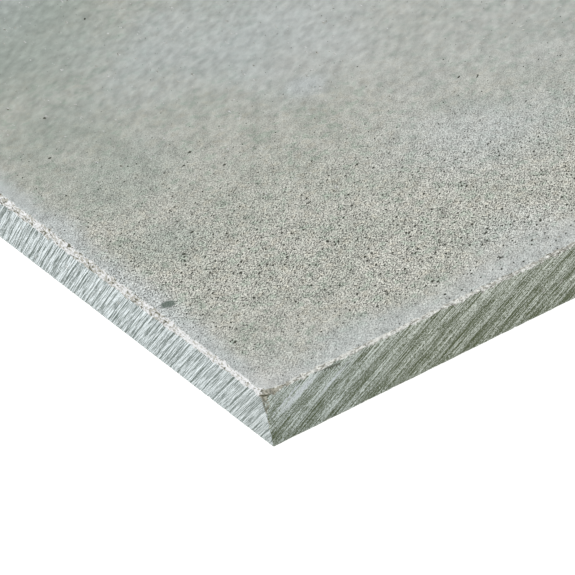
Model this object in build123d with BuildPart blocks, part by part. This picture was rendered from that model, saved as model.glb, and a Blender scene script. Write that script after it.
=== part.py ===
"""A fibre cement board: one flat sheet of pressed cement and fibre, sawn square on all four edges.

Millimetres. The board lies on its back: the origin is the middle of the back face,
+X runs along the length, +Y across the width and +Z up through the thickness to the face.
"""

import os

from build123d import *

# Driving dimensions
length = 1200.0  # between the two sawn ends
width = 600.0  # between the two sawn sides
thickness = 12.0  # from the back to the face
arris_radius = 0.5  # what sawing and handling take off every edge and corner

# The sheet, pressed flat and sawn to size
with BuildPart() as board:
    with BuildSketch(Plane.XY):
        Rectangle(length, width)
    extrude(amount=thickness)

    # Every arris is eased: round the face, round the back and down the four corners
    fillet(board.edges(), arris_radius)

board.part.label = "board"

os.makedirs("parts", exist_ok=True)
export_step(board.part, "parts/board.step")
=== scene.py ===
import math

import bmesh
import bpy
from mathutils import Matrix, Quaternion, Vector, noise


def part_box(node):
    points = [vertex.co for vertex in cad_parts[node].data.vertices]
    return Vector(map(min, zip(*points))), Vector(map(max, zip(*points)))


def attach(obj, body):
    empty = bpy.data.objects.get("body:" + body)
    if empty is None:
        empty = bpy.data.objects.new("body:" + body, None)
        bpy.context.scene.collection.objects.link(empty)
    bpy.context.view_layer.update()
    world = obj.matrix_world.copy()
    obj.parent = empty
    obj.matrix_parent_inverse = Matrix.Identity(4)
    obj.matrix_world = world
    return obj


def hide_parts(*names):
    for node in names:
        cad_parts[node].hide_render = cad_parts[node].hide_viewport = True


mm = 0.001

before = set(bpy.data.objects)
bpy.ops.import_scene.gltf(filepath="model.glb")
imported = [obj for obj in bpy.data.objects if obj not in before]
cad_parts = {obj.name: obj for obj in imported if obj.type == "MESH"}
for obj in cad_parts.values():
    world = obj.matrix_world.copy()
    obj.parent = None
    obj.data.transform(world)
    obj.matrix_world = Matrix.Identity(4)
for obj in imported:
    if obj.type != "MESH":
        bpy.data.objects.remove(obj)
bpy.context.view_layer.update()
boardLow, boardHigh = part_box("board")
boardSize = boardHigh - boardLow
print("frame loaded, board", [round(side / mm, 1) for side in boardSize], "mm")

# Where the photograph was taken from; the aim is measured on the face from the near corner
photoView = {
    "aim": (24.37 * mm, 30.11 * mm),
    "azimuth": -25.911,
    "elevation": 30.577,
    "roll": -11.488,
    "distance": 0.7,
    "lens": 219.75,
    "sensor": 36.0,
    "clip": (0.01, 100.0),
}


def placeCamera():
    turns = ("azimuth", "elevation", "roll")
    azimuth, elevation, roll = (math.radians(photoView[turn]) for turn in turns)
    back = Vector((math.sin(azimuth), -math.cos(azimuth), math.tan(elevation))).normalized()
    aimedAt = boardLow + Vector((*photoView["aim"], boardSize.z))
    lens = bpy.data.cameras.new("photoCamera")
    lens.lens = photoView["lens"]
    lens.sensor_width = photoView["sensor"]
    lens.clip_start, lens.clip_end = photoView["clip"]
    camera = bpy.data.objects.new("photoCamera", lens)
    camera.location = aimedAt + back * photoView["distance"]
    camera.rotation_mode = "QUATERNION"
    camera.rotation_quaternion = back.to_track_quat("Z", "Y") @ Quaternion((0, 0, 1), roll)
    bpy.context.scene.collection.objects.link(camera)
    bpy.context.scene.camera = camera


# Studio: a wide key light from beyond the left end, even light all round, a white floor
studio = {
    "keyFrom": (-0.80, -0.12, 0.72),
    "keyStrength": 2.5,
    "keyAngle": 24.0,
    "keyColour": (1.0, 0.99, 0.97),
    "roomColour": (0.97, 0.99, 1.0),
    "roomStrength": 0.45,
    "floorSide": 60.0,
    "floorGap": 0.05 * mm,
    "floorColour": (0.35, 0.35, 0.35),
    "floorGlow": 0.85,
}


def lightStudio():
    scene = bpy.context.scene
    scene.view_settings.view_transform = "Standard"
    lamp = bpy.data.lights.new("keyLight", "SUN")
    lamp.energy = studio["keyStrength"]
    lamp.angle = math.radians(studio["keyAngle"])
    lamp.color = studio["keyColour"]
    key = bpy.data.objects.new("keyLight", lamp)
    key.rotation_mode = "QUATERNION"
    key.rotation_quaternion = Vector(studio["keyFrom"]).to_track_quat("Z", "Y")
    key.location = Vector(studio["keyFrom"])
    scene.collection.objects.link(key)
    room = bpy.data.worlds.new("studioRoom")
    room.use_nodes = True
    shade = room.node_tree.nodes["Background"]
    shade.inputs["Color"].default_value = (*studio["roomColour"], 1)
    shade.inputs["Strength"].default_value = studio["roomStrength"]
    scene.world = room


def layFloor():
    bm = bmesh.new()
    bmesh.ops.create_grid(bm, x_segments=1, y_segments=1, size=studio["floorSide"] / 2)
    bmesh.ops.translate(bm, verts=bm.verts[:], vec=(0, 0, -studio["floorGap"]))
    floor = makeObject("studio_floor", bm)
    paint = bpy.data.materials.new("floorPaint")
    paint.use_nodes = True
    surface = paint.node_tree.nodes["Principled BSDF"]
    surface.inputs["Base Color"].default_value = (*studio["floorColour"], 1)
    surface.inputs["Roughness"].default_value = 1.0
    surface.inputs["Specular IOR Level"].default_value = 0.0
    surface.inputs["Emission Color"].default_value = (1, 1, 1, 1)
    surface.inputs["Emission Strength"].default_value = studio["floorGlow"]
    floor.data.materials.append(paint)


def makeObject(name, bm):
    mesh = bpy.data.meshes.new(name)
    bm.to_mesh(mesh)
    bm.free()
    made = bpy.data.objects.new(name, mesh)
    bpy.context.scene.collection.objects.link(made)
    return made


# The sheet's mesh: fine columns from the near corner along the two edges in view, coarse ones round
# the rest. Rings and rows are pairs of width and count, starting at the arris. Columns divide the
# edges that run along the board for a share of their length and for a few steps at least
sheet = {
    "name": "sawn_sheet",
    "arris": 0.2 * mm,
    "arrisSegments": 3,
    "faceRings": ((0.2 * mm, 8), (0.4 * mm, 4), (1.0 * mm, 3)),
    "backRings": ((0.5 * mm, 2), (2.0 * mm, 1)),
    "edgeRows": ((0.24 * mm, 11), (0.62 * mm, 14)),
    "band": 7 * mm,
    "fineEnd": 125 * mm,
    "fineSide": 85 * mm,
    "fineStep": 0.25 * mm,
    "coarseStep": 5.0 * mm,
    "alongShare": 0.9,
    "leastSteps": 4,
    "fineCell": 10 * mm,
    "coarseCell": 100 * mm,
}


def cutAcross(bm, faces, axis, place):
    edges = {edge for face in faces for edge in face.edges}
    normal = Vector((0, 0, 0))
    normal[axis] = 1
    cut = bmesh.ops.bisect_plane(bm, geom=faces + list(edges), plane_co=normal * place, plane_no=normal)
    return [item for item in cut["geom"] if isinstance(item, bmesh.types.BMFace)]


def divideColumns(bm, axis, line, below, start, end, step):
    across = 1 - axis
    slack = sheet["band"]
    runs = []
    for edge in bm.edges:
        first, second = (vert.co for vert in edge.verts)
        low, high = sorted((first[axis], second[axis]))
        beside = (first[across] < line) == below and (second[across] < line) == below
        straight = high - low > sheet["alongShare"] * edge.calc_length()
        long = high - low > sheet["leastSteps"] * step
        if beside and straight and long and low > start - slack and high < end + slack:
            runs.append(edge)
    bmesh.ops.subdivide_edges(bm, edges=runs, cuts=round((end - start) / step) - 1, use_grid_fill=True)


def cellLines(low, high, fineEnd):
    lines = []
    place = low + sheet["fineCell"]
    while place < low + fineEnd:
        lines.append(place)
        place += sheet["fineCell"]
    while place < high - sheet["fineCell"]:
        lines.append(place)
        place += sheet["coarseCell"]
    return lines


def plainSheet():
    bm = bmesh.new()
    middle = (boardLow + boardHigh) / 2
    bmesh.ops.create_cube(bm, size=1.0, matrix=Matrix.LocRotScale(middle, None, boardSize))
    bmesh.ops.bevel(
        bm,
        geom=bm.edges[:],
        offset=sheet["arris"],
        segments=sheet["arrisSegments"],
        profile=0.5,
        affect="EDGES",
        material=-1,
    )
    # Rings of faces round the face and the back, narrow beside the arris
    face = max(bm.faces, key=lambda item: item.normal.z * item.calc_area())
    back = min(bm.faces, key=lambda item: item.normal.z * item.calc_area())
    inset = {"use_even_offset": True, "use_boundary": True}
    for wide, rings in ((face, sheet["faceRings"]), (back, sheet["backRings"])):
        for width, count in rings:
            for ring in range(count):
                bmesh.ops.inset_region(bm, faces=[wide], thickness=width, **inset)
    # Rows down the sawn edges
    height = boardHigh.z - sheet["arris"]
    for width, count in sheet["edgeRows"]:
        for row in range(count):
            height -= width
            cutAcross(bm, bm.faces[:], 2, height)
    # Columns along the edges
    fineX = boardLow.x + sheet["fineSide"]
    fineY = boardLow.y + sheet["fineEnd"]
    frontLine, backLine = boardLow.y + sheet["band"], boardHigh.y - sheet["band"]
    leftLine, rightLine = boardLow.x + sheet["band"], boardHigh.x - sheet["band"]
    cutAcross(bm, [item for item in bm.faces if item.calc_center_median().y < frontLine], 0, fineX)
    cutAcross(bm, [item for item in bm.faces if item.calc_center_median().x < leftLine], 1, fineY)
    divideColumns(bm, 0, frontLine, True, boardLow.x, fineX, sheet["fineStep"])
    divideColumns(bm, 0, frontLine, True, fineX, boardHigh.x, sheet["coarseStep"])
    divideColumns(bm, 0, backLine, False, boardLow.x, boardHigh.x, sheet["coarseStep"])
    divideColumns(bm, 1, leftLine, True, boardLow.y, fineY, sheet["fineStep"])
    divideColumns(bm, 1, leftLine, True, fineY, boardHigh.y, sheet["coarseStep"])
    divideColumns(bm, 1, rightLine, False, boardLow.y, boardHigh.y, sheet["coarseStep"])
    # The two wide faces in cells, so that none is a sliver across the whole board
    for wide in (face, back):
        pieces = [wide]
        for place in cellLines(boardLow.x, boardHigh.x, sheet["fineSide"]):
            pieces = cutAcross(bm, pieces, 0, place)
        for place in cellLines(boardLow.y, boardHigh.y, sheet["fineEnd"]):
            pieces = cutAcross(bm, pieces, 1, place)
    return bm


# Saw marks: lean is how far a mark runs along the edge for each unit of height, and turn is its
# change per metre. The blade leaves the same lines once a turn, a pitch apart; drift is how far in
# turns that wanders in a period, and waver how far in a short one. A pulse is one such line: its
# place in the turn, how thin it is, and how pale or, below zero, how dark and deep. Between them lie
# fine lines, with the length of streaks and of dashes
waverPeriod = 13.7 * mm
fineRise = 0.4  # how much of the fine lines is cut in
endSaw = {
    "lean": 1.15,
    "turn": -1.1,
    "start": 10.6 * mm,
    "pitch": 4.89 * mm,
    "drift": 0.63,
    "period": 240 * mm,
    "waver": 0.06,
    "pulses": (
        (0.97, 40.0, -0.62),
        (0.61, 60.0, -0.38),
        (0.44, 9.0, 0.09),
        (0.80, 20.0, 0.12),
        (0.06, 40.0, 0.12),
    ),
    "broken": 0.6,
    "crest": 0.10,
    "depth": 0.09 * mm,
    "fine": 0.25 * mm,
    "length": 15.0 * mm,
    "dash": 4.2 * mm,
    "fineDepth": 0.03 * mm,
    "seed": 3.0,
}
sideSaw = {
    "lean": -1.70,
    "turn": -2.6,
    "start": 0.05 * mm,
    "pitch": 7.85 * mm,
    "drift": -0.117,
    "period": 160 * mm,
    "waver": 0.03,
    "pulses": ((0.985, 35.0, 0.20), (0.23, 35.0, 0.17), (0.09, 1.3, 0.16), (0.57, 8.0, -0.07)),
    "broken": 0.25,
    "crest": 0.23,
    "depth": 0.50 * mm,
    "fine": 0.27 * mm,
    "length": 8.0 * mm,
    "dash": 1.8 * mm,
    "fineDepth": 0.04 * mm,
    "seed": 11.0,
}


def markPlace(saw, along, height):
    return along + height * (saw["lean"] + saw["turn"] * along)


def bladeTurns(saw, place):
    turns = (place - saw["start"]) / saw["pitch"]
    turns += saw["drift"] * math.sin(2 * math.pi * place / saw["period"])
    return turns + saw["waver"] * math.sin(2 * math.pi * place / waverPeriod)


def sawRelief(saw, along, height):
    place = markPlace(saw, along, height)
    turns = bladeTurns(saw, place)
    profile = 0.0
    for shift, sharp, weight in saw["pulses"]:
        profile += weight * (0.5 + 0.5 * math.cos(2 * math.pi * (turns - shift))) ** sharp
    line = noise.noise(Vector((place / (2 * saw["fine"]), height / saw["length"], saw["seed"])))
    fine = saw["fineDepth"] * max(0.0, fineRise + line)
    return saw["depth"] * max(0.0, saw["crest"] - profile) + fine


# Wear on the arrises, in mm: size is what is broken off, far what is added along the edge, swing and
# crumb how unevenly, bite the deeper losses and wave their length
arrisWear = {
    "endFace": {"size": 0.88, "far": 0.30, "swing": 0.50, "crumb": 0.40, "bite": 0.8, "wave": 3.0},
    "sideFace": {"size": 0.68, "far": 0.0, "swing": 0.36, "crumb": 0.36, "bite": 0.9, "wave": 2.0},
    "underside": {"size": 0.03, "far": 0.0, "swing": 0.18, "crumb": 0.30, "bite": 0.8, "wave": 4.0},
    "upright": {"size": 0.60, "far": 0.0, "swing": 0.75, "crumb": 0.40, "bite": 0.0, "wave": 2.6},
}
breakage = {
    "seeds": {"endFace": 1.0, "sideFace": 2.0, "underside": 5.0, "upright": 9.0},
    "farShift": 2.0,  # moves the noise of the two far edges on, past the relief in view
    "noise": (0.7, 2.0, 4),  # roughness, step and octaves
    "crumb": 0.6 * mm,
    "bite": 1.7 * mm,
    "biteLayer": 7.0,
    "biteLeast": 0.2,
    "grows": (30 * mm, 42 * mm),  # where along an edge the far part starts and is full
    "reach": 0.5 * mm,  # depth over which the mask of wear runs from nothing to full
    # The holes along the lower edge are darkened with painted shade
    "undersideShade": 0.5,  # how dark the holes along the lower edge are at most
}
# Upright arrises lose less at the foot. Each stain has a depth and half length in mm, and a strength
uprightArris = {
    "taper": 0.95 * mm,
    "stains": ((7.6, 2.2, 1.0), (4.4, 1.0, 0.7), (11.0, 0.8, 0.7)),
    "leastStain": 0.55,
}

# The broken near corner: how far it reaches along the two edges and down, and the facet below it on
# the side. The crack under it slopes down away from the corner; the groove lies on the end beside the
# upright arris. Both are cut in and darkened with painted shade. Stain is how many times the chip's
# reach it spreads, and the trail runs along the side
cornerChip = {
    "reach": (1.9 * mm, 2.4 * mm, 1.5 * mm),
    "facet": (2.6 * mm, 0.90 * mm, 5.4 * mm),
    "facetStain": 0.82,
    "facetEdge": 6,
    "rough": 0.30,
    "noise": (0.8, 2.0, 3),
    "grain": 0.9 * mm,
    "crackDepth": 0.14 * mm,
    "crackSlope": (0.494, 0.464),
    "crackWave": 0.22 * mm,
    "crackHalf": 0.34 * mm,
    "crackReach": (1.5 * mm, 2.3 * mm),
    "crackDeep": 0.30 * mm,
    "crackEnds": (0.35, 2),
    "stain": 1.6,
    "stainRough": 1.5,
    "stainEdge": 3,
    "trail": 8 * mm,
    "trailHead": 1.4,
    "trailStain": 0.88,
    "groovePlace": 0.65 * mm,
    "grooveHalf": 0.44 * mm,
    "grooveBow": 0.35 * mm,
    "grooveRun": (1.0 * mm, 4.4 * mm),
    "grooveDeep": 0.16 * mm,
    "grooveShade": 0.66,
}
# The thin flake lifted under the arris of the front side: its lip drops from one depth to the other.
# Shade is how dark the painted shade in the recess under the lip is
flake = {
    "start": 11.6 * mm,
    "end": 17.9 * mm,
    "lip": (0.52 * mm, 1.05 * mm),
    "tall": (0.15 * mm, 0.85 * mm),
    "deep": 0.25 * mm,
    "shade": 0.5,
}


def breakArris(kind, spot, distances, along, shift=0):
    wear = arrisWear[kind]
    seed = breakage["seeds"][kind] + shift
    rag = noise.fractal(Vector((along / (wear["wave"] * mm), seed, 0.0)), *breakage["noise"])
    crumb = noise.noise(spot / breakage["crumb"] + Vector((seed, 0, 0)))
    bite = noise.noise(Vector((along / breakage["bite"], seed, breakage["biteLayer"])))
    bite = max(0.0, bite - breakage["biteLeast"])
    start, full = breakage["grows"]
    grown = max(0.0, min(1.0, (along - start) / (full - start)))
    size = wear["size"] + wear["far"] * grown
    size += wear["swing"] * rag + wear["crumb"] * crumb + wear["bite"] * bite
    return size * mm - sum(distances)


def wearMask(lost):
    return max(0.0, min(1.0, 0.5 + lost / breakage["reach"]))


def flakeDepth(along, depth):
    share = (along - flake["start"]) / (flake["end"] - flake["start"])
    if not 0 < share < 1:
        return 0.0
    lip = flake["lip"][0] + share * (flake["lip"][1] - flake["lip"][0])
    tall = flake["tall"][0] + share * (flake["tall"][1] - flake["tall"][0])
    below = (depth - lip) / tall
    return math.sin(math.pi * below) ** 0.5 if 0 < below < 1 else 0.0


def chipCorner(spot, inward):
    reach = Vector(cornerChip["reach"])
    rough = cornerChip["rough"] * noise.fractal(spot / cornerChip["grain"], *cornerChip["noise"])
    near = inward.x / reach.x + inward.y / reach.y + inward.z / reach.z
    lost = 1 + rough - near
    if lost > 0:
        inward += reach * (lost / len(reach))
    stain = cornerChip["stain"] + cornerChip["stainRough"] * rough - near
    stain = max(0.0, min(1.0, stain * cornerChip["stainEdge"]))
    facet = Vector(cornerChip["facet"])
    lost = 1 + rough - inward.x / facet.x - inward.y / facet.y - inward.z / facet.z
    if lost > 0:
        inward.y += facet.y * lost
        stain = max(stain, min(1.0, cornerChip["facetEdge"] * lost) * cornerChip["facetStain"])
    crackX, crackY = cornerChip["crackReach"]
    slopeX, slopeY = cornerChip["crackSlope"]
    crackLevel = cornerChip["crackDepth"] + slopeX * inward.x + slopeY * inward.y
    crackLevel += cornerChip["crackWave"] * noise.noise(spot / cornerChip["grain"])
    fromCrack = abs(inward.z - crackLevel) / cornerChip["crackHalf"]
    fromEnds = min(1 - inward.x / crackX, 1 - inward.y / crackY)
    crack = 0.0
    # The crack is cut in and darkened with painted shade in it
    if fromCrack < 1 and fromEnds > 0:
        least, growth = cornerChip["crackEnds"]
        crack = (1 - fromCrack) * min(1.0, least + growth * fromEnds)
        inward += Vector((1, 1, 0)) * crack * cornerChip["crackDeep"]
    # The groove is cut in and darkened with painted shade in it
    head, foot = cornerChip["grooveRun"]
    run = (inward.z - head) / (foot - head)
    fromGroove = inward.y - cornerChip["groovePlace"] - cornerChip["grooveBow"] * (1 - 2 * run)
    fromGroove = abs(fromGroove) / cornerChip["grooveHalf"]
    if fromGroove < 1 and 0 < run < 1 and inward.x < cornerChip["crackHalf"]:
        groove = (1 - fromGroove) * math.sin(math.pi * run) ** 0.5
        inward.x += groove * cornerChip["grooveDeep"]
        crack = max(crack, groove * cornerChip["grooveShade"])
    return stain, crack


# The last mask darkens cracks and recesses with painted shade
storedMasks = ("Wear", "Stain", "Crack")  # what the mesh stores at each point for the materials


def wearSheet(bm):
    layers = {label: bm.verts.layers.float.new(label.lower()) for label in storedMasks}
    arris = sheet["arris"]
    for vert in bm.verts:
        spot = vert.co.copy()
        left, front = spot.x < 0, spot.y < 0
        inward = Vector((
            spot.x - boardLow.x if left else boardHigh.x - spot.x,
            spot.y - boardLow.y if front else boardHigh.y - spot.y,
            boardHigh.z - spot.z,
        ))
        if inward.x > sheet["band"] and inward.y > sheet["band"]:
            continue
        fromBack = spot.z - boardLow.z
        alongEnd = spot.y - boardLow.y + (0 if left else breakage["farShift"])
        alongSide = spot.x - boardLow.x + (0 if front else breakage["farShift"])
        onEnd = max(0.0, 1 - inward.x / arris)
        onSide = max(0.0, 1 - inward.y / arris)
        if left and alongEnd < sheet["fineEnd"]:
            inward.x += onEnd * sawRelief(endSaw, alongEnd, fromBack)
        crack = 0.0
        if front and alongSide < sheet["fineSide"]:
            inward.y += onSide * sawRelief(sideSaw, alongSide, fromBack)
            # The recess under the flake's lip is darkened with painted shade
            lifted = onSide * flakeDepth(alongSide, inward.z)
            inward.y += lifted * flake["deep"]
            crack = lifted * flake["shade"]
        lost = -math.inf
        for axis, along, kind in ((0, alongEnd, "endFace"), (1, alongSide, "sideFace")):
            gap = breakArris(kind, spot, (inward[axis], inward.z), along)
            lost = max(lost, gap)
            if gap > 0:
                inward[axis] += gap / 2
                inward.z += gap / 2
        wear = wearMask(lost)
        # Holes along the lower edges, darkened with painted shade
        for axis, along in ((0, alongEnd), (1, alongSide)):
            below = boardSize.z - inward.z
            gap = breakArris("underside", spot, (inward[axis], below), along, axis)
            if gap > 0:
                inward[axis] += gap / 2
                inward.z -= gap / 2
                crack = max(crack, min(breakage["undersideShade"], gap / breakage["reach"]))
        gap = breakArris("upright", spot, inward[:2], spot.z, left + 2 * front)
        gap -= uprightArris["taper"] * (inward.z / boardSize.z) ** 2
        kept = uprightArris["leastStain"]
        for depth, half, power in uprightArris["stains"]:
            kept = max(kept, power * (1 - abs(inward.z / mm - depth) / half))
        stain = wearMask(gap) * kept
        if gap > 0:
            inward.x += gap / 2
            inward.y += gap / 2
        if left and front:
            chipped, cracked = chipCorner(spot, inward)
            trail = 0.0
            if inward.y < inward.x:
                trail = min(1.0, cornerChip["trailHead"] - inward.x / cornerChip["trail"])
                trail *= wear * cornerChip["trailStain"]
            stain = max(stain, chipped, trail)
            crack = max(crack, cracked)
        vert[layers["Wear"]] = wear
        vert[layers["Stain"]] = stain
        vert[layers["Crack"]] = crack
        vert.co.x = boardLow.x + inward.x if left else boardHigh.x - inward.x
        vert.co.y = boardLow.y + inward.y if front else boardHigh.y - inward.y
        vert.co.z = boardHigh.z - inward.z


faceSlot, endSlot, sideSlot, backSlot = range(4)  # in the order that the materials are added below


def sortFaces(bm):
    for item in bm.faces:
        middle = item.calc_center_median()
        fromEnd = boardSize.x / 2 - abs(middle.x)
        fromSide = boardSize.y / 2 - abs(middle.y)
        fromFace = boardHigh.z - middle.z
        nearest = min(fromEnd, fromSide, fromFace, middle.z - boardLow.z)
        if nearest == fromFace:
            item.material_index = faceSlot
        elif nearest == fromEnd:
            item.material_index = endSlot
        elif nearest == fromSide:
            item.material_index = sideSlot
        else:
            item.material_index = backSlot
        item.smooth = True


# Node helpers
def connect(tree, made, inputs):
    for key, value in inputs.items():
        if isinstance(value, bpy.types.NodeSocket):
            tree.links.new(value, made.inputs[key])
        else:
            made.inputs[key].default_value = value
    return made


def addNode(tree, kind, inputs=None, **settings):
    made = tree.nodes.new(kind)
    for name, value in settings.items():
        setattr(made, name, value)
    return connect(tree, made, inputs or {})


def calc(tree, operation, *values):
    return addNode(tree, "ShaderNodeMath", dict(enumerate(values)), operation=operation).outputs[0]


def ease(tree, value, low, high, toLow=0.0, toHigh=1.0):
    limits = {"Value": value, "From Min": low, "From Max": high, "To Min": toLow, "To Max": toHigh}
    return addNode(tree, "ShaderNodeMapRange", limits, interpolation_type="SMOOTHSTEP").outputs["Result"]


def blend(tree, factor, first, second, mode="MIX"):
    slots = {0: factor, 6: first, 7: second}
    return addNode(tree, "ShaderNodeMix", slots, data_type="RGBA", blend_type=mode).outputs[2]


def mottle(tree, vector, size, detail=2.0, rough=0.55):
    inputs = {"Vector": vector, "Scale": 1 / size, "Detail": detail, "Roughness": rough}
    return addNode(tree, "ShaderNodeTexNoise", inputs).outputs["Fac"]


def swing(tree, vector, size, detail=2.0, rough=0.55):
    return calc(tree, "SUBTRACT", mottle(tree, vector, size, detail, rough), 0.5)


def grey(tree, level):
    return addNode(tree, "ShaderNodeCombineColor", {0: level, 1: level, 2: level}).outputs[0]


def tint(red, green, blue):
    linear = []
    for level in (red / 255, green / 255, blue / 255):
        linear.append(level / 12.92 if level <= 0.04045 else ((level + 0.055) / 1.055) ** 2.4)
    return (*linear, 1.0)


def newGroup(name, inputs, outputs):
    kinds = {"Vector": "NodeSocketVector", "Colour": "NodeSocketColor"}
    group = bpy.data.node_groups.new(name, "ShaderNodeTree")
    for way, labels in (("INPUT", inputs), ("OUTPUT", outputs)):
        for label in labels:
            kind = kinds.get(label, "NodeSocketFloat")
            group.interface.new_socket(label, in_out=way, socket_type=kind)
    source = group.nodes.new("NodeGroupInput").outputs
    sink = group.nodes.new("NodeGroupOutput")
    return group, source, sink


def useGroup(tree, group, inputs):
    return addNode(tree, "ShaderNodeGroup", inputs, node_tree=group).outputs


# Sandy grain: each tone has a size, a weight, the share of it that a smooth place loses and how
# suddenly. Pits lie in cells of a size: a cell has one only above the second number, as wide in cells
# as the other two allow, and few are wide. Heights are in mm
grain = {
    "tones": ((0.28 * mm, 4.7, 0.96, 1.0), (0.75 * mm, 0.3, 0.80, 6.0), (1.8 * mm, 0.6, -0.1, 1.0)),
    "darkest": 0.15,
    "pits": ((0.85 * mm, 0.45, 0.20, 0.39), (4.2 * mm, 0.55, 0.03, 0.12)),
    "fewWide": 2.0,
    "pitCore": 0.5,
    "ragged": 0.45,
    "raggedSize": 0.6 * mm,
    "toneHeight": 0.05,
    "pitHeight": -0.16,
}


def sandyGrain():
    inputs = ("Vector", "Smooth", "Pits")
    group, source, sink = newGroup("sandyGrain", inputs, ("Light", "Pits", "Height"))
    place = source["Vector"]
    tone = 0.0
    for size, weight, fade, power in grain["tones"]:
        smooth = calc(group, "POWER", source["Smooth"], power)
        kept = calc(group, "MULTIPLY_ADD", smooth, -fade * weight, weight)
        tone = calc(group, "MULTIPLY_ADD", swing(group, place, size, 1.0, 0.5), kept, tone)
    light = calc(group, "MAXIMUM", calc(group, "ADD", tone, 1.0), grain["darkest"])
    marks = []
    for size, least, narrowest, widest in grain["pits"]:
        cells = addNode(group, "ShaderNodeTexVoronoi", {"Vector": place, "Scale": 1 / size}).outputs
        chance = addNode(group, "ShaderNodeSeparateColor", {"Color": cells["Color"]}).outputs["Red"]
        above = {"Value": chance, "From Min": least}
        share = addNode(group, "ShaderNodeMapRange", above).outputs["Result"]
        share = calc(group, "POWER", share, grain["fewWide"])
        width = calc(group, "MULTIPLY_ADD", share, widest - narrowest, narrowest)
        width = calc(group, "MULTIPLY", width, calc(group, "GREATER_THAN", chance, least))
        width = calc(group, "MULTIPLY", width, source["Pits"])
        uneven = calc(group, "MULTIPLY", swing(group, place, grain["raggedSize"], 1.0), grain["ragged"])
        away = calc(group, "ADD", cells["Distance"], uneven)
        marks.append(ease(group, away, width, calc(group, "MULTIPLY", width, grain["pitCore"])))
    pitMask = calc(group, "MAXIMUM", *marks)
    sunk = calc(group, "MULTIPLY", pitMask, grain["pitHeight"])
    height = calc(group, "MULTIPLY_ADD", tone, grain["toneHeight"], sunk)
    group.links.new(light, sink.inputs["Light"])
    group.links.new(pitMask, sink.inputs["Pits"])
    group.links.new(height, sink.inputs["Height"])
    return group


# Worn edges, from what the mesh stores: pale broken arris with its holes painted dark as painted
# shade, stained corner, cracks and recesses darkened with painted shade. A mask is the range over which
# it eases in, with its values there. Chalk and hollows start at a level of noise, which is other by so
# much in whole stretches and at the ends
worn = {
    "white": tint(214, 215, 216),
    "sideWhite": tint(224, 225, 220),
    "dull": tint(166, 165, 157),
    # The next colour is the painted shade in the arris's holes and the corner's pockets
    "gap": tint(88, 88, 74),
    "stain": tint(160, 157, 143),
    # The next colour is the painted shade in cracks and recesses
    "crack": tint(80, 79, 62),
    "rag": 0.9 * mm,
    "fleck": 0.36 * mm,
    "crumb": 0.46 * mm,
    "draw": 2.8,
    "whiteFrom": (12, 0),
    "whiteRun": (46 * mm, 34 * mm),
    "run": 6 * mm,
    "runMask": (0.49, 0.60, 0.0, 0.85),
    "ragSpread": 3.0,
    "ragLess": -1.2,
    "paleMask": (0.36, 0.62),
    "chalkFrom": (0.49, -0.10, -0.03),
    "chalkOver": 0.12,
    "hollowFrom": (0.66, 0.12, -0.05),
    "hollowOver": 0.05,
    "hollowMost": 0.9,
    "stainSpread": 2.0,
    "stainMask": (0.4, 0.75, 0.0, 0.85),
    "dirtSpread": 0.9,
    "pocketMask": (0.54, 0.62, 0.0, 0.8),
    "crackAndShadeMask": (0.1, 0.7, 0.0, 0.9),
}


def startLevel(tree, level, whole, atEnd):
    plain, inWhole, onEnds = level
    return calc(tree, "MULTIPLY_ADD", whole, inWhole, calc(tree, "MULTIPLY_ADD", atEnd, onEnds, plain))


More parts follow.
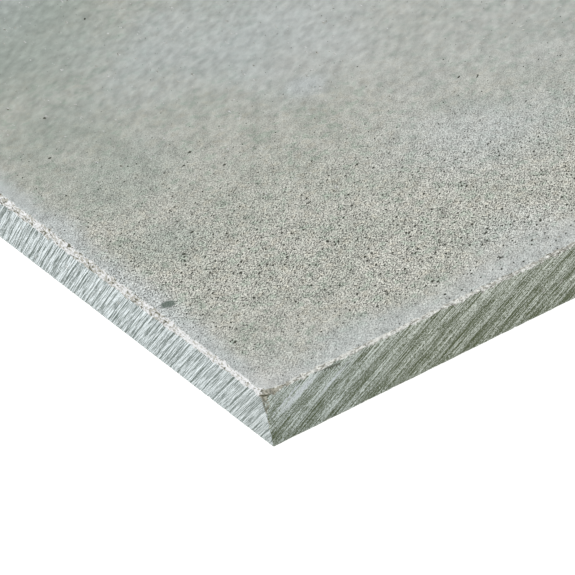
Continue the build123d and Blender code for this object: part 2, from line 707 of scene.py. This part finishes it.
def wornEdges():
    inputs = ("Colour", "Vector", *storedMasks)
    group, source, sink = newGroup("wornEdges", inputs, ("Colour",))
    place = source["Vector"]
    # Coordinates that follow the nearest edge, so that what is broken there is drawn out along it
    split = addNode(group, "ShaderNodeSeparateXYZ", {"Vector": place}).outputs
    fromEnd = calc(group, "SUBTRACT", boardSize.x / 2, calc(group, "ABSOLUTE", split["X"]))
    fromSide = calc(group, "SUBTRACT", boardSize.y / 2, calc(group, "ABSOLUTE", split["Y"]))
    atEnd = calc(group, "LESS_THAN", fromEnd, fromSide)
    along = addNode(group, "ShaderNodeMix", {0: atEnd, 2: split["X"], 3: split["Y"]}).outputs[0]
    along = calc(group, "MULTIPLY_ADD", along, 1 / worn["draw"], atEnd)
    across = calc(group, "MINIMUM", fromEnd, fromSide)
    edge = {"X": across, "Y": along, "Z": split["Z"]}
    edge = addNode(group, "ShaderNodeCombineXYZ", edge).outputs["Vector"]
    # White in some stretches, as by the near corner, dull and full of holes in others, the holes
    # darkened with painted shade
    scattered = ease(group, mottle(group, place, worn["run"], 1.0, 0.5), *worn["runMask"])
    whole = ease(group, fromPoint(group, place, onFace(worn["whiteFrom"])), *worn["whiteRun"])
    whole = calc(group, "MAXIMUM", whole, scattered)
    rag = swing(group, edge, worn["rag"], 3.0, 0.7)
    spread = calc(group, "MULTIPLY_ADD", whole, worn["ragLess"], worn["ragSpread"])
    ragged = calc(group, "MULTIPLY", rag, spread)
    pale = ease(group, calc(group, "ADD", ragged, source["Wear"]), *worn["paleMask"])
    least = startLevel(group, worn["chalkFrom"], whole, atEnd)
    flecks = mottle(group, edge, worn["fleck"], 1.0, 0.6)
    chalk = ease(group, flecks, least, calc(group, "ADD", least, worn["chalkOver"]))
    chalk = blend(group, chalk, worn["dull"], blend(group, atEnd, worn["sideWhite"], worn["white"]))
    crumbs = mottle(group, edge, worn["crumb"], 0.0)
    least = startLevel(group, worn["hollowFrom"], whole, atEnd)
    full = calc(group, "ADD", least, worn["hollowOver"])
    hollow = ease(group, crumbs, least, full, 0.0, worn["hollowMost"])
    chalk = blend(group, hollow, chalk, worn["gap"])
    colour = blend(group, pale, source["Colour"], chalk)
    # The stained corner, with dark pockets of painted shade, and the cracks and recesses darkened with
    # painted shade
    uneven = swing(group, place, worn["rag"], 2.0, 0.6)
    stained = calc(group, "MULTIPLY_ADD", uneven, worn["stainSpread"], source["Stain"])
    stained = ease(group, stained, *worn["stainMask"])
    dirt = grey(group, calc(group, "MULTIPLY_ADD", rag, worn["dirtSpread"], 1.0))
    dirt = blend(group, 1.0, worn["stain"], dirt, "MULTIPLY")
    # Dark pockets of painted shade in the stained corner
    pockets = ease(group, mottle(group, place, worn["crumb"], 0.0), *worn["pocketMask"])
    colour = blend(group, stained, colour, blend(group, pockets, dirt, worn["gap"]))
    # Cracks and recesses darkened with painted shade
    colour = blend(group, ease(group, source["Crack"], *worn["crackAndShadeMask"]), colour, worn["crack"])
    group.links.new(colour, sink.inputs["Colour"])
    return group


# What the saw marks' group takes from a saw, and its noise: where the lines of a turn are broken off,
# and the layers that streaks and dashes lie in
sawLabels = ("Lean", "Turn", "Start", "Pitch", "Drift", "Period", "Waver")
sawLabels += ("Broken", "Fine", "Length", "Dash")
sawNoise = {
    "breakLayer": 9.0,
    "breakSize": 0.5,
    "breakMask": (0.56, 0.40),
    "streakLayer": 0.0,
    "dashLayer": 5.0,
}


def sawMarks():
    outputs = ("Place", "Turns", "Whole", "Streak", "Dash")
    group, source, sink = newGroup("sawMarks", ("Along", "Height", *sawLabels), outputs)
    along, height = source["Along"], source["Height"]
    lean = calc(group, "MULTIPLY_ADD", source["Turn"], along, source["Lean"])
    place = calc(group, "MULTIPLY_ADD", height, lean, along)
    turns = calc(group, "DIVIDE", calc(group, "SUBTRACT", place, source["Start"]), source["Pitch"])
    for label, period in (("Drift", source["Period"]), ("Waver", waverPeriod)):
        angle = calc(group, "MULTIPLY", calc(group, "DIVIDE", place, period), 2 * math.pi)
        turns = calc(group, "MULTIPLY_ADD", calc(group, "SINE", angle), source[label], turns)
    # The lines of a turn are broken off here and there
    drawn = calc(group, "DIVIDE", height, source["Length"])
    patch = {"X": turns, "Y": drawn, "Z": sawNoise["breakLayer"]}
    patch = addNode(group, "ShaderNodeCombineXYZ", patch).outputs["Vector"]
    missing = ease(group, mottle(group, patch, sawNoise["breakSize"], 1.0), *sawNoise["breakMask"])
    whole = calc(group, "SUBTRACT", 1.0, calc(group, "MULTIPLY", missing, source["Broken"]))
    group.links.new(turns, sink.inputs["Turns"])
    group.links.new(whole, sink.inputs["Whole"])
    # Streaks and dashes: noise drawn out along the marks
    across = calc(group, "DIVIDE", place, source["Fine"])
    for label, length, layer in (("Streak", "Length", "streakLayer"), ("Dash", "Dash", "dashLayer")):
        drawn = calc(group, "DIVIDE", height, source[length])
        line = {"X": across, "Y": drawn, "Z": sawNoise[layer]}
        line = addNode(group, "ShaderNodeCombineXYZ", line).outputs["Vector"]
        group.links.new(mottle(group, line, 1.0, 1.0, 0.5), sink.inputs[label])
    group.links.new(place, sink.inputs["Place"])
    return group


cement = {
    "rough": 0.92,
    "shine": 0.25,
}


def startMaterial(name):
    made = bpy.data.materials.new(name)
    made.use_nodes = True
    tree = made.node_tree
    surface = tree.nodes["Principled BSDF"]
    surface.inputs["Roughness"].default_value = cement["rough"]
    surface.inputs["Specular IOR Level"].default_value = cement["shine"]
    place = tree.nodes.new("ShaderNodeTexCoord").outputs["Object"]
    return made, tree, surface, place


def finishSurface(tree, surface, place, colour, height, groups):
    stored = {}
    for label in storedMasks:
        stored[label] = addNode(tree, "ShaderNodeAttribute", attribute_name=label.lower()).outputs["Fac"]
    edges = useGroup(tree, groups["edges"], {"Colour": colour, "Vector": place, **stored})
    bump = addNode(tree, "ShaderNodeBump", {"Height": height, "Strength": 1.0, "Distance": mm})
    tree.links.new(edges["Colour"], surface.inputs["Base Color"])
    tree.links.new(bump.outputs["Normal"], surface.inputs["Normal"])


# The pressed face. Places are in mm from the near corner, along the front side and along the left end;
# a patch also has a reach and a strength. A mask is a range, with its values there
pressedFace = {
    "warm": tint(190, 190, 182),
    "olive": tint(181, 183, 174),
    "blue": tint(193, 198, 198),
    "green": tint(166, 173, 165),
    # The next colour is the painted shade in the pits
    "pit": tint(54, 56, 45),
    "moss": tint(155, 170, 155),
    "sand": tint(191, 186, 170),
    "pale": tint(212, 209, 206),
    "hue": 9 * mm,
    "hueMask": (0.36, 0.62),
    "blotch": 2.2 * mm,
    "mossMask": (0.54, 0.70, 0.0, 0.5),
    "sandMask": (0.46, 0.30, 0.0, 0.35),
    "smoothTone": (0.865, 0.885, 0.89, 1),
    "smoothWay": (0.437, 0.90, 0.0),
    "smoothRun": (40 * mm, 138 * mm),
    "smoothWander": 14 * mm,
    "endFilm": (8 * mm, 1.5 * mm, 0.0, 0.85),
    "endFilmWander": 9 * mm,
    "endFilmEven": 0.25,
    "sideFilm": (17 * mm, 3 * mm, 0.0, 0.75),
    "sideFilmBlue": (13 * mm, 2 * mm, 0.0, 0.7),
    "sideFilmWander": 14 * mm,
    "sideFilmEven": 0.8,
    "spot": tint(92, 106, 98),
    "spotPlace": (4.0, 43.3),
    "spotRadius": (1.75, 1.45),
    "spotRag": 0.7 * mm,
    "spotRagged": 0.7,
    "spotMask": (1.05, 0.75, 0.0, 0.85),
    "wander": 22 * mm,
    "patchWander": 1.1,
    "patchEdge": 1.1,
    "patchCores": {"blue": 0.0, "green": 0.1, "smooth": 0.3, "pale": 0.3},
    "bluePatches": (
        (75, 132, 48, 0.75),
        (73, 101, 9, 0.9),
        (70, 3, 20, 0.6),
        (90, 52, 27, 0.6),
        (125, 95, 65, 0.35),
        (7, 7, 17, 0.3),
    ),
    "greenPatches": (
        (36, 172, 38, 0.9),
        (47, 182, 26, 1.0),
        (16, 66, 11, 0.6),
        (22, 98, 20, 0.5),
        (26, 124, 22, 0.5),
    ),
    "smoothPatches": ((5, 5, 38, 0.42),),
    "palePatches": ((5, 4, 10, 0.34), (108, 104, 44, 0.16), (80, 108, 16, 0.2), (84, 58, 10, 0.14)),
    "openPits": ((22.1, 64.4), (16.3, 57.9), (24.5, 134.3), (16.4, 116.9), (39.2, 94.5)),
    "openPit": 0.55 * mm,
    "openPitRag": 0.5 * mm,
    "openPitCore": 0.5,
    "pitShade": 0.95,
    "smoothPits": -0.8,
    "filmPits": -0.3,
    "photographed": (120 * mm, 210 * mm),
    "clouds": {"blue": 90 * mm, "green": 70 * mm, "smooth": 110 * mm},
    "cloudMask": (0.48, 0.66),
    "cloudStrength": 0.5,
    "smoothBeyond": (190 * mm, 300 * mm),
    "grainTurn": 42.0,
    "grainStretch": 1.8,
}


def onFace(place):
    return Vector((boardLow.x + place[0] * mm, boardLow.y + place[1] * mm, boardHigh.z))


def fromPoint(tree, place, point):
    ends = {0: place, 1: point}
    return addNode(tree, "ShaderNodeVectorMath", ends, operation="DISTANCE").outputs["Value"]


def softPatches(tree, place, wander, patches, core):
    mask = 0.0
    for x, y, reach, strength in patches:
        gap = calc(tree, "DIVIDE", fromPoint(tree, place, onFace((x, y))), reach * mm)
        gap = calc(tree, "MULTIPLY_ADD", wander, pressedFace["patchWander"], gap)
        patch = ease(tree, gap, pressedFace["patchEdge"], core, 0.0, strength)
        mask = calc(tree, "MAXIMUM", patch, mask)
    return mask


def faceMaterial(groups):
    made, tree, surface, place = startMaterial("pressedFace")
    split = addNode(tree, "ShaderNodeSeparateXYZ", {"Vector": place}).outputs
    fromEnd = calc(tree, "SUBTRACT", boardSize.x / 2, calc(tree, "ABSOLUTE", split["X"]))
    fromSide = calc(tree, "SUBTRACT", boardSize.y / 2, calc(tree, "ABSOLUTE", split["Y"]))
    wander = swing(tree, place, pressedFace["wander"], 3.0, 0.55)
    # Clouds of blue and green grey: placed in the corner that the photograph shows, scattered beyond it
    corner = onFace((0, 0))
    fromCorner = fromPoint(tree, place, corner)
    beyond = ease(tree, fromCorner, *pressedFace["photographed"])
    scattered = {}
    for name, size in pressedFace["clouds"].items():
        shift = (len(name), 0, 0)  # so that no two kinds lie in the same places
        shifted = addNode(tree, "ShaderNodeMapping", {"Vector": place, "Location": shift})
        shifted = shifted.outputs["Vector"]
        scattered[name] = ease(tree, mottle(tree, shifted, size, 3.0, 0.5), *pressedFace["cloudMask"])
    patches = {}
    for name, core in pressedFace["patchCores"].items():
        patches[name] = softPatches(tree, place, wander, pressedFace[name + "Patches"], core)
    for name in ("blue", "green"):
        clouds = calc(tree, "MULTIPLY", scattered[name], beyond)
        clouds = calc(tree, "MULTIPLY", clouds, pressedFace["cloudStrength"])
        patches[name] = calc(tree, "MAXIMUM", patches[name], clouds)
    # The grain grows smoother away from the corner, and beyond the photographed part it comes and goes
    ends = {0: place, 1: corner}
    offCorner = addNode(tree, "ShaderNodeVectorMath", ends, operation="SUBTRACT").outputs["Vector"]
    ahead = {0: offCorner, 1: pressedFace["smoothWay"]}
    ahead = addNode(tree, "ShaderNodeVectorMath", ahead, operation="DOT_PRODUCT").outputs["Value"]
    ahead = calc(tree, "MULTIPLY_ADD", wander, pressedFace["smoothWander"], ahead)
    smooth = calc(tree, "MAXIMUM", ease(tree, ahead, *pressedFace["smoothRun"]), patches["smooth"])
    outside = ease(tree, fromCorner, *pressedFace["smoothBeyond"])
    smooth = addNode(tree, "ShaderNodeMix", {0: outside, 2: smooth, 3: scattered["smooth"]}).outputs[0]
    # A smoother, bluer film beside the edges
    fromEnd = calc(tree, "MULTIPLY_ADD", wander, pressedFace["endFilmWander"], fromEnd)
    endFilm = ease(tree, fromEnd, *pressedFace["endFilm"])
    fromSide = calc(tree, "MULTIPLY_ADD", wander, pressedFace["sideFilmWander"], fromSide)
    sideFilm = ease(tree, fromSide, *pressedFace["sideFilm"])
    film = calc(tree, "MAXIMUM", endFilm, ease(tree, fromSide, *pressedFace["sideFilmBlue"]))
    hue = ease(tree, mottle(tree, place, pressedFace["hue"], 2.0, 0.5), *pressedFace["hueMask"])
    colour = blend(tree, hue, pressedFace["olive"], pressedFace["warm"])
    blotches = mottle(tree, place, pressedFace["blotch"], 1.0, 0.6)
    for name in ("moss", "sand"):
        mask = ease(tree, blotches, *pressedFace[name + "Mask"])
        colour = blend(tree, mask, colour, pressedFace[name])
    colour = blend(tree, patches["green"], colour, pressedFace["green"])
    colour = blend(tree, calc(tree, "MAXIMUM", patches["blue"], film), colour, pressedFace["blue"])
    colour = blend(tree, patches["pale"], colour, pressedFace["pale"])
    colour = blend(tree, smooth, colour, pressedFace["smoothTone"], "MULTIPLY")
    # Sandy grain, drawn out a little along the way the sheet was pressed
    turned = {"Vector": place, "Rotation": (0, 0, -math.radians(pressedFace["grainTurn"]))}
    turned = addNode(tree, "ShaderNodeMapping", turned).outputs["Vector"]
    drawn = {"Vector": turned, "Scale": (1 / pressedFace["grainStretch"], 1, 1)}
    drawn = addNode(tree, "ShaderNodeMapping", drawn).outputs["Vector"]
    even = calc(tree, "MAXIMUM", smooth, calc(tree, "MULTIPLY", sideFilm, pressedFace["sideFilmEven"]))
    even = calc(tree, "MULTIPLY_ADD", endFilm, pressedFace["endFilmEven"], even)
    even = calc(tree, "MINIMUM", even, 1.0)
    pits = calc(tree, "MULTIPLY_ADD", smooth, pressedFace["smoothPits"], 1.0)
    pits = calc(tree, "MULTIPLY_ADD", film, pressedFace["filmPits"], pits)
    pits = calc(tree, "MAXIMUM", pits, 0.0)  # below nothing a pit's rim and middle would change places
    sand = useGroup(tree, groups["grain"], {"Vector": drawn, "Smooth": even, "Pits": pits})
    colour = blend(tree, 1.0, colour, grey(tree, sand["Light"]), "MULTIPLY")
    # The grain's pits and the open pits are sunk by the bump and also painted dark as painted shade in
    # them
    openPits = sand["Pits"]
    reach = pressedFace["openPit"]
    core = pressedFace["openPitCore"] * reach
    for pit in pressedFace["openPits"]:
        uneven = swing(tree, place, pressedFace["openPitRag"], 1.0)
        gap = fromPoint(tree, place, onFace(pit))
        gap = calc(tree, "MULTIPLY_ADD", uneven, pressedFace["openPitRag"], gap)
        openPits = calc(tree, "MAXIMUM", openPits, ease(tree, gap, reach, core))
    openPits = calc(tree, "MULTIPLY", openPits, pressedFace["pitShade"])
    colour = blend(tree, openPits, colour, pressedFace["pit"])
    # Dark oval spot near the left end
    spread = {"Vector": place, "Location": onFace(pressedFace["spotPlace"])}
    spread["Scale"] = (*(radius * mm for radius in pressedFace["spotRadius"]), 1)
    oval = addNode(tree, "ShaderNodeMapping", spread, vector_type="TEXTURE").outputs["Vector"]
    gap = addNode(tree, "ShaderNodeVectorMath", {0: oval}, operation="LENGTH").outputs["Value"]
    uneven = swing(tree, place, pressedFace["spotRag"], 2.0)
    gap = calc(tree, "MULTIPLY_ADD", uneven, pressedFace["spotRagged"], gap)
    colour = blend(tree, ease(tree, gap, *pressedFace["spotMask"]), colour, pressedFace["spot"])
    finishSurface(tree, surface, place, colour, sand["Height"], groups)
    return made


# The sawn edges: colours, how much streaks, dashes and grain shade them and how much paler they grow
# upward, a painted shade that darkens them towards the floor. Near is the stretch by the near corner,
# where they may be calmer, paler or bluer. Chalk has a place along the marks and a half width; each
# dark patch of painted shade beside the worn upright arris has a place along the edge, one up it and a
# reach, in mm
sawnEnd = {
    "pale": tint(218, 226, 228),
    "dark": tint(96, 106, 102),
    "base": 0.475,
    "streak": 2.25,
    "dash": 2.6,
    "grain": 0.32,
    "paintedShadeRise": 0.0,
    "near": (26 * mm, 4 * mm),
    "calmRun": (64 * mm, 12 * mm),
    "calm": 0.42,
    "lift": -0.05,
    "tone": (1.0, 0.99, 0.98, 1),
    "chalkPlaces": (),
    "paintedShades": (),
}
sawnSide = {
    "pale": tint(214, 220, 210),
    "dark": tint(86, 94, 67),
    "base": 0.28,
    "streak": 2.8,
    "dash": 2.1,
    "grain": 0.46,
    "paintedShadeRise": 0.26,
    "near": (40 * mm, 10 * mm),
    "calmRun": (16 * mm, 4 * mm),
    "calm": 0.2,
    "lift": 0.06,
    "tone": (0.97, 1.0, 1.06, 1),
    "chalkPlaces": ((-7.5, 1.7), (-10.0, 0.55), (1.4, 0.7)),
    "paintedShades": ((1.2, 2.2, 2.2), (1.0, 5.4, 1.8)),
}
# What all the sawn edges share
sawnSurface = {
    "smooth": 0.0,
    "pits": 0.5,
    "shadeMask": (-0.1, 1.1),
    "paintedShadeMask": (1.0, 0.2, 0.0, 0.28),
    "streakHeight": 0.12,
}
# The chalky streaks end along the edge, up it and down it
chalky = {
    "colour": tint(204, 207, 217),
    "shade": 0.36,
    "strength": 0.40,
    "along": (26 * mm, 14 * mm),
    "up": (11.6 * mm, 9.8 * mm),
    "down": (5.0 * mm, 8.5 * mm),
    "rag": 1.0 * mm,
    "ragged": 2.5 * mm,
    "core": 0.4,
}


def sawnMaterial(name, saw, look, alongAxis, groups):
    made, tree, surface, place = startMaterial(name)
    split = addNode(tree, "ShaderNodeSeparateXYZ", {"Vector": place}).outputs
    along = calc(tree, "SUBTRACT", split[alongAxis], boardLow["XYZ".index(alongAxis)])
    sizes = {label: saw[label.lower()] for label in sawLabels}
    marks = useGroup(tree, groups["saw"], {"Along": along, "Height": split["Z"], **sizes})
    sand = {"Vector": place, "Smooth": sawnSurface["smooth"], "Pits": sawnSurface["pits"]}
    sand = useGroup(tree, groups["grain"], sand)
    # Shade from dark, 0, to pale, 1
    shade = 0.0
    for label in ("Streak", "Dash"):
        line = calc(tree, "SUBTRACT", marks[label], 0.5)
        shade = calc(tree, "MULTIPLY_ADD", line, look[label.lower()], shade)
    shade = calc(tree, "MULTIPLY_ADD", calc(tree, "SUBTRACT", sand["Light"], 1.0), look["grain"], shade)
    near = ease(tree, along, *look["near"])
    shade = calc(tree, "MULTIPLY", shade, ease(tree, along, *look["calmRun"], 1.0, 1 - look["calm"]))
    profile = 0.0
    for shift, sharp, weight in saw["pulses"]:
        angle = calc(tree, "MULTIPLY", calc(tree, "SUBTRACT", marks["Turns"], shift), 2 * math.pi)
        hump = calc(tree, "MULTIPLY_ADD", calc(tree, "COSINE", angle), 0.5, 0.5)
        profile = calc(tree, "MULTIPLY_ADD", calc(tree, "POWER", hump, sharp), weight, profile)
    shade = calc(tree, "MULTIPLY_ADD", profile, marks["Whole"], shade)
    # Paler upward and darker towards the floor: painted shade
    risen = calc(tree, "DIVIDE", calc(tree, "SUBTRACT", split["Z"], boardSize.z / 2), boardSize.z)
    shade = calc(tree, "MULTIPLY_ADD", risen, look["paintedShadeRise"], shade)
    shade = calc(tree, "MULTIPLY_ADD", near, look["lift"], calc(tree, "ADD", shade, look["base"]))
    flat = addNode(tree, "ShaderNodeCombineXYZ", {"X": along, "Y": split["Z"]}).outputs["Vector"]
    # Dark patches of painted shade beside the worn upright arris
    for where, height, reach in look["paintedShades"]:
        gap = calc(tree, "DIVIDE", fromPoint(tree, flat, (where * mm, height * mm, 0)), reach * mm)
        shade = calc(tree, "SUBTRACT", shade, ease(tree, gap, *sawnSurface["paintedShadeMask"]))
    chalk = 0.0
    for where, half in look["chalkPlaces"]:
        gap = calc(tree, "ABSOLUTE", calc(tree, "SUBTRACT", marks["Place"], where * mm))
        gap = calc(tree, "MULTIPLY_ADD", swing(tree, place, chalky["rag"], 3.0), chalky["ragged"], gap)
        chalk = calc(tree, "MAXIMUM", ease(tree, gap, half * mm, chalky["core"] * half * mm), chalk)
    ends = ease(tree, along, *chalky["along"])
    for way in ("down", "up"):
        ends = calc(tree, "MULTIPLY", ends, ease(tree, split["Z"], *chalky[way]))
    chalk = calc(tree, "MULTIPLY", chalk, ends)
    shade = calc(tree, "MULTIPLY_ADD", chalk, chalky["shade"], shade)
    colour = blend(tree, ease(tree, shade, *sawnSurface["shadeMask"]), look["dark"], look["pale"])
    colour = blend(tree, near, colour, look["tone"], "MULTIPLY")
    colour = blend(tree, calc(tree, "MULTIPLY", chalk, chalky["strength"]), colour, chalky["colour"])
    height = calc(tree, "MULTIPLY_ADD", marks["Streak"], sawnSurface["streakHeight"], sand["Height"])
    finishSurface(tree, surface, place, colour, height, groups)
    return made


feltBack = {
    "clouds": 70 * mm,
    "cloudMask": (0.35, 0.65),
    "smooth": 0.2,
    "pits": 0.6,
}


def backMaterial(groups):
    made, tree, surface, place = startMaterial("feltBack")
    hue = ease(tree, mottle(tree, place, feltBack["clouds"], 3.0, 0.5), *feltBack["cloudMask"])
    colour = blend(tree, hue, pressedFace["green"], pressedFace["warm"])
    sand = {"Vector": place, "Smooth": feltBack["smooth"], "Pits": feltBack["pits"]}
    sand = useGroup(tree, groups["grain"], sand)
    colour = blend(tree, 1.0, colour, grey(tree, sand["Light"]), "MULTIPLY")
    finishSurface(tree, surface, place, colour, sand["Height"], groups)
    return made


placeCamera()
lightStudio()
layFloor()
print("camera, lights and floor set")

bm = plainSheet()
wearSheet(bm)
sortFaces(bm)
board = makeObject(sheet["name"], bm)
print("sheet", sum(len(item.vertices) - 2 for item in board.data.polygons), "triangles")

groups = {"grain": sandyGrain(), "edges": wornEdges(), "saw": sawMarks()}
board.data.materials.append(faceMaterial(groups))
board.data.materials.append(sawnMaterial("sawnEnd", endSaw, sawnEnd, "Y", groups))
board.data.materials.append(sawnMaterial("sawnSide", sideSaw, sawnSide, "X", groups))
board.data.materials.append(backMaterial(groups))
print("materials made")

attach(board, "root")
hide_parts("board")

bpy.context.view_layer.update()
